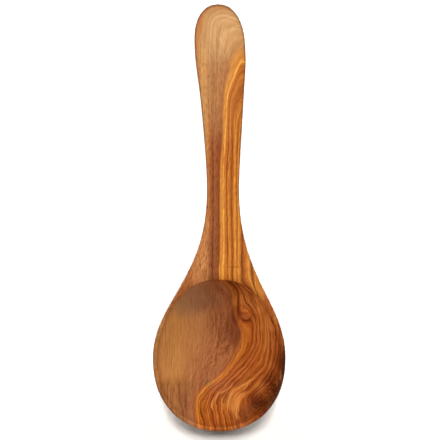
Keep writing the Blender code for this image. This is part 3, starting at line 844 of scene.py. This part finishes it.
# The golden strokes low in the bowl, the hook above the knot, and the veins of the brown side.
bent_side = swung(side, curl, 3.0)
dark_end = times(between(across, 3.8, 4.4), rest(between(across, 5.4, 6.2)))
dark_end = times(rest(between(along, -15.0, -5.0)), dark_end)
tone = painted(tone, times(dark_end, 0.7), (180, 98, 40))
hook_ground = times(spot((19.2, 28.4), (5.0, 3.2)), 0.9)
tone = painted(tone, hook_ground, (190, 106, 48))
gold_strokes = 0.0
for sizes in GOLD_STROKES:
    gold_strokes = larger(gold_strokes, stroke(along, across, *sizes))
gold_strokes = times(gold_strokes, hollow_share)
tone = painted(tone, gold_strokes, (226, 144, 70))
for run, off, strokes in ((side, along, HOOK_TOPS), (along, side, HOOK_SIDES), (along, bent_side, VEINS)):
    for sizes in strokes:
        tone = tinted(tone, stroke(run, off, *sizes), VEIN_CHANGE)
tone = tinted(tone, stroke(along, bent_side, *PALE_VEIN), (1.16, 1.2, 1.26))
left_low = times(spot((-27.0, -33.0), (20.0, 20.0)), rest(between(across, -4.0, 0.0)))
tone = tinted(tone, left_low, (0.97, 0.98, 1.16))

# The knot low on the right: dark wood with rings round its eye, and two pale specks.
knot_noise = between(fibres(side, along, (0.3, 0.3), seed=71.0), 0.35, 0.6)
knot = times(spot((38.5, -20.0), (8.0, 15.0)), scaled(knot_noise, 0.85, 0.15))
tone = tinted(tone, knot, (0.42, 0.38, 0.4))
eye = spot((29.5, -31.5), (8.5, 6.5))
eye_x = less(side, RING_MIDDLE[0])
eye_y = less(along, RING_MIDDLE[1])
eye_radius = math_node("SQRT", scaled(eye_x, eye_x, times(eye_y, eye_y)))
eye_warp = fibres(side, along, (0.22, 0.22), seed=91.0)
eye_phase = scaled(eye_radius, 0.42, times(eye_warp, 3.0))
eye_lines = rest(between(math_node("PINGPONG", eye_phase, 0.5), 0.02, 0.24))
tone = tinted(tone, times(eye, 0.6), (0.42, 0.36, 0.42))
tone = tinted(tone, times(eye, eye_lines), (0.4, 0.34, 0.36))
low_dark = times(spot((35.5, -33.5), (8.0, 6.5)), scaled(knot_noise, 0.5, 0.5))
tone = tinted(tone, low_dark, (0.54, 0.54, 0.7))
# The outer edge on the right, beside the knot, is made much darker.
tone = tinted(tone, spot((47.0, -4.0), (6.5, 18.0)), (0.26, 0.2, 0.24))
speck = larger(spot((43.0, -11.5), (0.9, 5.0)), spot((40.4, -18.0), (0.9, 3.0)))
tone = painted(tone, times(speck, 0.4), (196, 132, 86))

# Thin dark lines between the layers, and finer light and dark ones beside them.
lively = between(across, -1.5, 3.0)
lines = larger(dark_lines((0.4, 0.02), 2.0, 4.4, 0.14, 21.0), dark_lines((0.7, 0.03), 1.2, 4.0, 0.2, 27.0))
line_depth = larger(scaled(lively, 0.46, 0.1), times(hollow_share, 0.34))
line_depth = times(line_depth, scaled(paleness, -0.5, 1.0))
line_shade = rest(times(lines, line_depth))
fine_share = larger(rest(between(along, -22.0, 4.0)), between(along, 26.0, 38.0))
fine_share = times(scaled(fine_share, 0.7, 0.3), lively)
fine_share = mixed_value(hollow_share, times(lively, scaled(paleness, -0.55, 0.5)), fine_share)
fine_warp = fibres(across, along, (0.5, 0.02), seed=31.0)
fine_wave = math_node("PINGPONG", scaled(across, 0.62, times(fine_warp, 2.4)), 0.5)
fine_fade = between(fibres(across, along, (0.9, 0.02), detail=2.0, seed=35.0), 0.35, 0.6)
fine_shade = scaled(times(between(fine_wave, 0.36, 0.48), fine_fade), 0.3, 1.0)
fine_shade = scaled(times(rest(between(fine_wave, 0.02, 0.2)), fine_fade), -0.72, fine_shade)
line_shade = times(line_shade, scaled(less(fine_shade, 1.0), fine_share, 1.0))
unlined = larger(times(calm, 0.85), larger(gold_strokes, hook_ground))
line_shade = mixed_value(unlined, line_shade, 1.0)

# Flecks, threads, pores and streaks along the fibres, and a painted sheen on the left of the hollow, where
# they blur.
flecks = fibres(grain, times(along, scaled(hollow_share, -0.5, 1.0)), (1.05, 0.22), roughness=0.65, seed=9.0)
threads = fibres(grain, along, (1.7, 0.07), roughness=0.65, seed=14.0)
# Painted sheen: a soft lamp's reflection, painted lighter on the left of the hollow.
sheen_left = rest(between(scaled(along, -0.3, side), -27.0, -11.0))
painted_sheen = times(times(sheen_left, between(along, -21.0, -12.0)), hollow_share)
clear = scaled(painted_sheen, -0.7, 1.0)
shade = swung(1.08, strands, 0.6)
shade = swung(shade, flecks, times(scaled(paleness, -1.1, 1.6), clear))
shade = swung(shade, threads, times(clear, scaled(paleness, -0.6, 1.4)))
pores = between(fibres(fan, along, (1.5, 0.24), detail=2.0, seed=81.0), 0.51, 0.64)
pore_depth = times(scaled(hollow_share, 0.2, -0.5), scaled(paleness, -0.5, 1.0))
pore_depth = times(pore_depth, scaled(smooth_head, -0.8, 1.0))
pore_depth = times(rest(lively), times(clear, pore_depth))
shade = scaled(pores, pore_depth, shade)
streaks = between(fibres(side, along, (0.28, 0.02), seed=95.0), 0.48, 0.64)
streak_share = times(less(hollow_share, painted_sheen), rest(lively))
streak_share = times(streak_share, rest(between(along, -16.0, 0.0)))
shade = scaled(times(streaks, streak_share), -0.26, shade)

# The rim is darker, partly in blotches of the wood's own and partly as painted shade, which keeps its lit top
# as dark as the wall inside it. Painted light inside the upper lip and painted shade outside it soften the
# lip's shadow. The outline of the grip and head gets painted shade, and the inside of the left rim gets
# painted light.
blotches = between(fibres(side, along, (0.45, 0.45), seed=61.0), 0.36, 0.58)
foot_rim = spot((-2.0, -50.0), (38.0, 15.0))
rim_depth = times(attribute("near_rim"), scaled(blotches, -0.24, scaled(foot_rim, -0.3, 0.42)))
rim_depth = larger(rim_depth, times(attribute("painted_edge_shade"), 0.72))
lip_shade = scaled(attribute("painted_lip_light_and_shade"), scaled(foot_rim, -0.22, 0.26), 1.0)
rim_shade = times(rest(rim_depth), lip_shade)
rim_shade = times(rim_shade, scaled(attribute("left_rim_painted_light"), 0.26, 1.0))
shade = times(times(shade, line_shade), times(scaled(painted_sheen, 0.34, 0.88), rim_shade))

# A darker shade is redder too, because its green and blue fall faster than its red.
redder = scaled(less(shade, 1.0), 0.8, 1.0)
yellow_gain = scaled(times(lively, hollow_share), 0.5, 1.16)
yellower = scaled(less(shade, 1.0), yellow_gain, 1.0)
brightness = put("ShaderNodeCombineXYZ", None, X=redder, Y=shade, Z=yellower).outputs[0]
tone = put("ShaderNodeVectorMath", {"operation": "MULTIPLY"}, _0=tone, _1=brightness).outputs[0]
tree.links.new(tone, shader.inputs["Base Color"])

polish = scaled(flecks, FLECK_ROUGHNESS, ROUGHNESS)
tree.links.new(polish, shader.inputs["Roughness"])
shader.inputs["Specular IOR Level"].default_value = SHEEN
grain_height = math_node("ADD", flecks, threads)
relief = put("ShaderNodeBump", None, Strength=RELIEF_STRENGTH, Distance=RELIEF_DEPTH, Height=grain_height)
tree.links.new(relief.outputs[0], shader.inputs["Normal"])

ladle_mesh.materials.append(wood)
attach(ladle, "root")
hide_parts("carved_ladle")

# The table
# A plain white table, wide enough for every view. It isn't part of the ladle, and of the lamps only its own
# suns and its wash light it.
TABLE_SIDE = 6.0
TABLE_TONE = (0.9, 0.86, 0.82, 1.0)
TABLE_BOUNCE = (0.3, 0.3, 0.3, 1.0)

bpy.ops.mesh.primitive_plane_add(size=TABLE_SIDE)
table = bpy.context.active_object
table.name = "table"
table_paint = bpy.data.materials.new("white_table")
table_paint.use_nodes = True
# From here on the helpers put their nodes into the paint of the table.
tree = table_paint.node_tree
tree.nodes.remove(tree.nodes["Principled BSDF"])
rays = tree.nodes.new("ShaderNodeLightPath")
direct = larger(rays.outputs["Is Camera Ray"], rays.outputs["Is Glossy Ray"])
direct = larger(direct, rays.outputs["Is Transmission Ray"])
paint = put("ShaderNodeBsdfDiffuse", None, Color=mixed(direct, TABLE_BOUNCE, TABLE_TONE))
tree.links.new(paint.outputs[0], tree.nodes["Material Output"].inputs["Surface"])
table.data.materials.append(table_paint)

# Camera
# It looks straight down on the front face from 1.6 metres away, so it is turned as the ladle is.
CAMERA_DISTANCE = 1600.0
PICTURE_MIDDLE = (0.6, 97.0)
PICTURE_WIDTH = 307.9
SENSOR_WIDTH = 36.0

lens = bpy.data.cameras.new("camera")
lens.sensor_width = SENSOR_WIDTH
lens.lens = SENSOR_WIDTH * CAMERA_DISTANCE / PICTURE_WIDTH
lens.clip_end = 20.0
camera = bpy.data.objects.new("camera", lens)
bpy.context.scene.collection.objects.link(camera)
stand = placement @ Matrix.Translation((*PICTURE_MIDDLE, CAMERA_DISTANCE))
stand.translation = stand.translation * METRES
camera.matrix_world = stand
bpy.context.scene.camera = camera

# Light
# Four soft lamps light only the ladle. Seven suns light only the table and throw the shadow round the tip,
# and a round wash from overhead lights the table under the bowl.

# Each of the ladle's lamps: name, azimuth, elevation, distance, energy and width. The first is beyond the
# head, so the lip's shadow falls into the hollow, and only this one shows in the wood's sheen.
LADLE_LAMPS = (
    ("key_lamp", 5.0, 55.0, 1.3, 5.75, 0.4),
    ("left_lamp", -75.0, 40.0, 1.3, 6.7, 0.6),
    ("right_lamp", 80.0, 40.0, 1.3, 6.2, 0.6),
    ("over_lamp", 0.0, 90.0, 1.2, 2.75, 1.6),
)
# Each of the table's suns: azimuth, elevation and strength.
TABLE_SUNS = (
    (0.0, 66.0, 0.62), (0.0, 70.0, 0.78), (0.0, 74.0, 0.62), (-10.0, 72.0, 0.36), (10.0, 72.0, 0.36),
    (-40.0, 70.0, 0.5), (40.0, 70.0, 0.48),
)
SUN_DISTANCE = 2.0
SUN_WIDTH = math.radians(5.0)
WASH_RADIUS = 0.2
WASH_HEIGHT = 1.5
WASH_PLACE = 0.0485
WASH_ENERGY = 60.0
WASH_EDGE = 0.1
WASH_SIZE = 0.01
AMBIENT = 0.13
AMBIENT_TONE = (1.0, 0.95, 0.87, 1.0)
WHITE = (1.0, 1.0, 1.0, 1.0)


def turned_lamp(name, kind, azimuth, elevation, distance, energy, size):
    """A lamp that looks at the middle of the ladle. Azimuth 0 is beyond the head, and 90 to the right."""
    data = bpy.data.lights.new(name, kind)
    data.energy = energy
    if kind == "AREA":
        data.shape = "DISK"
        data.size = size
    else:
        data.angle = size
    lamp = bpy.data.objects.new(name, data)
    bpy.context.scene.collection.objects.link(lamp)
    turn = Matrix.Rotation(math.radians(-azimuth), 4, "Z")
    tip = Matrix.Rotation(math.radians(elevation - 90), 4, "X")
    lamp.matrix_world = turn @ tip @ Matrix.Translation((0.0, 0.0, distance))
    return lamp


def light_only(lamp, thing):
    """The lamp lights nothing but that thing, and everything still throws its shadow."""
    only = bpy.data.collections.new(lamp.name + "_lights")
    only.objects.link(thing)
    lamp.light_linking.receiver_collection = only


for name, *sizes in LADLE_LAMPS:
    lamp = turned_lamp(name, "AREA", *sizes)
    lamp.visible_glossy = name == "key_lamp"
    light_only(lamp, ladle)
for azimuth, elevation, strength in TABLE_SUNS:
    sun = turned_lamp("table_sun", "SUN", azimuth, elevation, SUN_DISTANCE, strength, SUN_WIDTH)
    light_only(sun, table)
wash = bpy.data.lights.new("table_wash", "SPOT")
wash.energy = WASH_ENERGY
wash.spot_size = 2 * math.atan(WASH_RADIUS / WASH_HEIGHT)
wash.spot_blend = WASH_EDGE
wash.shadow_soft_size = WASH_SIZE
wash_lamp = bpy.data.objects.new("table_wash", wash)
bpy.context.scene.collection.objects.link(wash_lamp)
wash_lamp.location = (0.0, WASH_PLACE, WASH_HEIGHT)
light_only(wash_lamp, table)

sky = bpy.data.worlds.new("studio")
bpy.context.scene.world = sky
sky.use_nodes = True
# From here on the helpers put their nodes into the sky.
tree = sky.node_tree
background = tree.nodes["Background"]
rays = tree.nodes.new("ShaderNodeLightPath")
plain = larger(rays.outputs["Is Camera Ray"], rays.outputs["Is Glossy Ray"])
plain = larger(plain, rays.outputs["Is Transmission Ray"])
tree.links.new(scaled(plain, 1.0 - AMBIENT, AMBIENT), background.inputs["Strength"])
tree.links.new(mixed(plain, AMBIENT_TONE, WHITE), background.inputs["Color"])

bpy.context.scene.view_settings.view_transform = "Standard"
